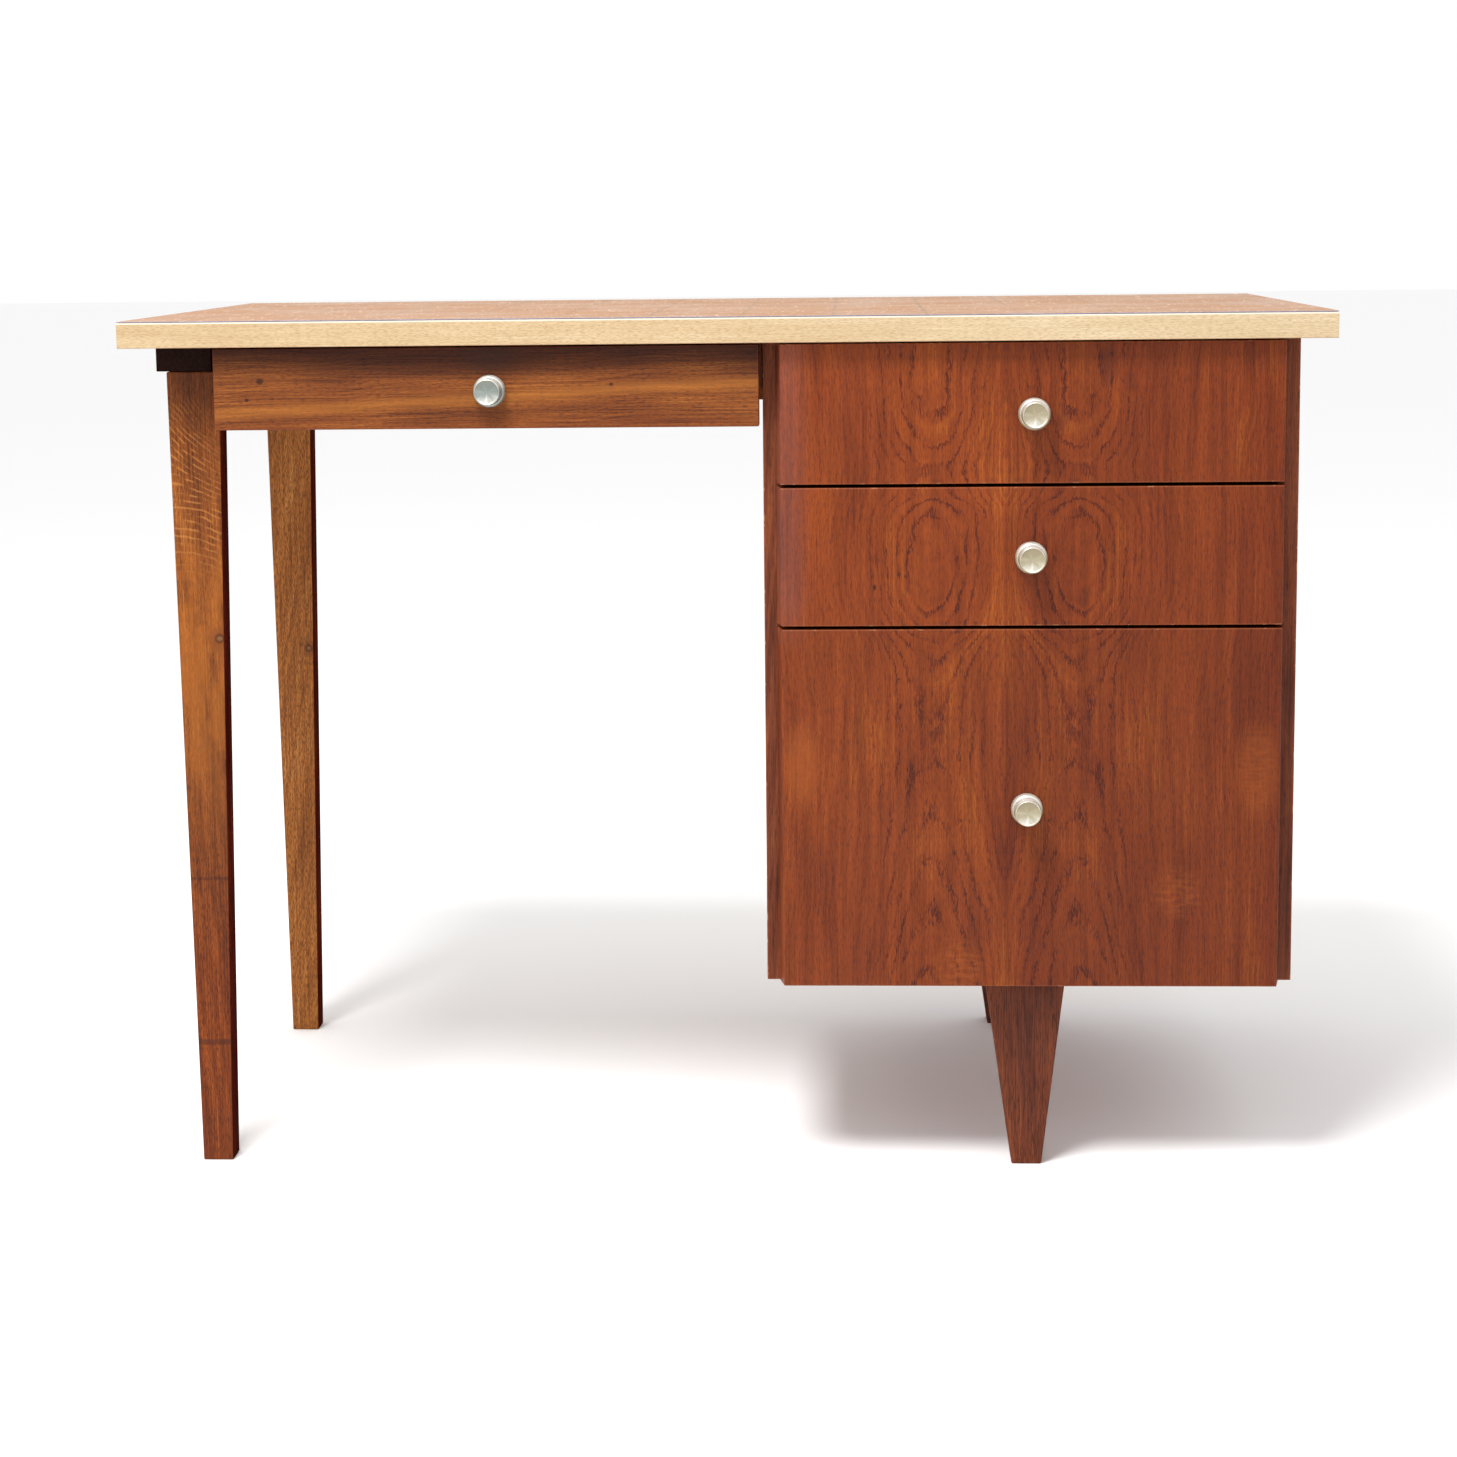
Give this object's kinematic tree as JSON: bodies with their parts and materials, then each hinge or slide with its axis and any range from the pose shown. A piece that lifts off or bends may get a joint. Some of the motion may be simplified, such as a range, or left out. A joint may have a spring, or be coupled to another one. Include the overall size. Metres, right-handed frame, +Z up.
{
  "type": "writing desk",
  "caption": "Writing desk with a laminated top on a drawer pedestal and a tapered-leg support, with a shallow centre drawer.",
  "frame": {"origin": "on the floor, under the centre of the desk's bounding box, which reaches forward to the knobs' faces", "axes": "+X to the sitter's right along the desk, +Y from the front to the back, +Z up; the drawer fronts face -Y"},
  "size_m": [1.05, 0.583, 0.762],
  "materials": {
    "beech_band": "satin pale edge band",
    "chipboard": "raw chipboard",
    "dark_cleat": "near-black stained wood",
    "dark_oak": "satin dark brown stained oak",
    "laminate": "semi-gloss speckled laminate",
    "nickel": "turned and brushed champagne nickel",
    "oak": "satin brown oak, open grain",
    "pale_wood": "unfinished pale wood",
    "plywood": "unfinished plywood",
    "stained_veneer": "satin red-brown stained veneer, vertical grain",
    "steel": "zinc-plated steel"
  },
  "bodies": {
    "desk": {"cabinet_back": "plywood", "cabinet_bottom": "stained_veneer", "cabinet_leg_front": "dark_oak", "cabinet_leg_rear": "dark_oak", "cabinet_rail_front": "pale_wood", "cabinet_rail_rear": "pale_wood", "cabinet_side_left": "dark_oak", "cabinet_side_right": "dark_oak", "drawer_hanger_left": "dark_oak", "drawer_hanger_right": "dark_oak", "edge_band_front": "beech_band", "edge_band_left": "beech_band", "edge_band_rear": "beech_band", "edge_band_right": "beech_band", "rear_rail": "oak", "runner_lower_left": "pale_wood", "runner_lower_right": "pale_wood", "runner_middle_left": "pale_wood", "runner_middle_right": "pale_wood", "runner_upper_left": "pale_wood", "runner_upper_right": "pale_wood", "support_cleat": "dark_cleat", "support_leg_front": "oak", "support_leg_rear": "oak", "support_side_rail": "oak", "top_core": "chipboard", "top_laminate": "laminate", "top_screw_front_left": "steel", "top_screw_front_right": "steel", "top_screw_rear_left": "steel", "top_screw_rear_right": "steel"},
    "centre_drawer": {"centre_drawer_back": "pale_wood", "centre_drawer_bottom": "plywood", "centre_drawer_front": "oak", "centre_drawer_knob": "nickel", "centre_drawer_knob_screw": "steel", "centre_drawer_side_left": "pale_wood", "centre_drawer_side_right": "pale_wood"},
    "upper_drawer": {"upper_drawer_back": "pale_wood", "upper_drawer_bottom": "plywood", "upper_drawer_front": "stained_veneer", "upper_drawer_knob": "nickel", "upper_drawer_knob_screw": "steel", "upper_drawer_side_left": "pale_wood", "upper_drawer_side_right": "pale_wood"},
    "middle_drawer": {"middle_drawer_back": "pale_wood", "middle_drawer_bottom": "plywood", "middle_drawer_front": "stained_veneer", "middle_drawer_knob": "nickel", "middle_drawer_knob_screw": "steel", "middle_drawer_side_left": "pale_wood", "middle_drawer_side_right": "pale_wood"},
    "lower_drawer": {"lower_drawer_back": "pale_wood", "lower_drawer_bottom": "plywood", "lower_drawer_front": "stained_veneer", "lower_drawer_knob": "nickel", "lower_drawer_knob_screw": "steel", "lower_drawer_side_left": "pale_wood", "lower_drawer_side_right": "pale_wood"}
  },
  "joints": [
    {"name": "centre_drawer_slide", "type": "slide", "parent": "desk", "child": "centre_drawer", "axis": [0, -1, 0], "range_m": [0, 0.28]},
    {"name": "upper_drawer_slide", "type": "slide", "parent": "desk", "child": "upper_drawer", "axis": [0, -1, 0], "range_m": [0, 0.34]},
    {"name": "middle_drawer_slide", "type": "slide", "parent": "desk", "child": "middle_drawer", "axis": [0, -1, 0], "range_m": [0, 0.34]},
    {"name": "lower_drawer_slide", "type": "slide", "parent": "desk", "child": "lower_drawer", "axis": [0, -1, 0], "range_m": [0, 0.34]}
  ]
}
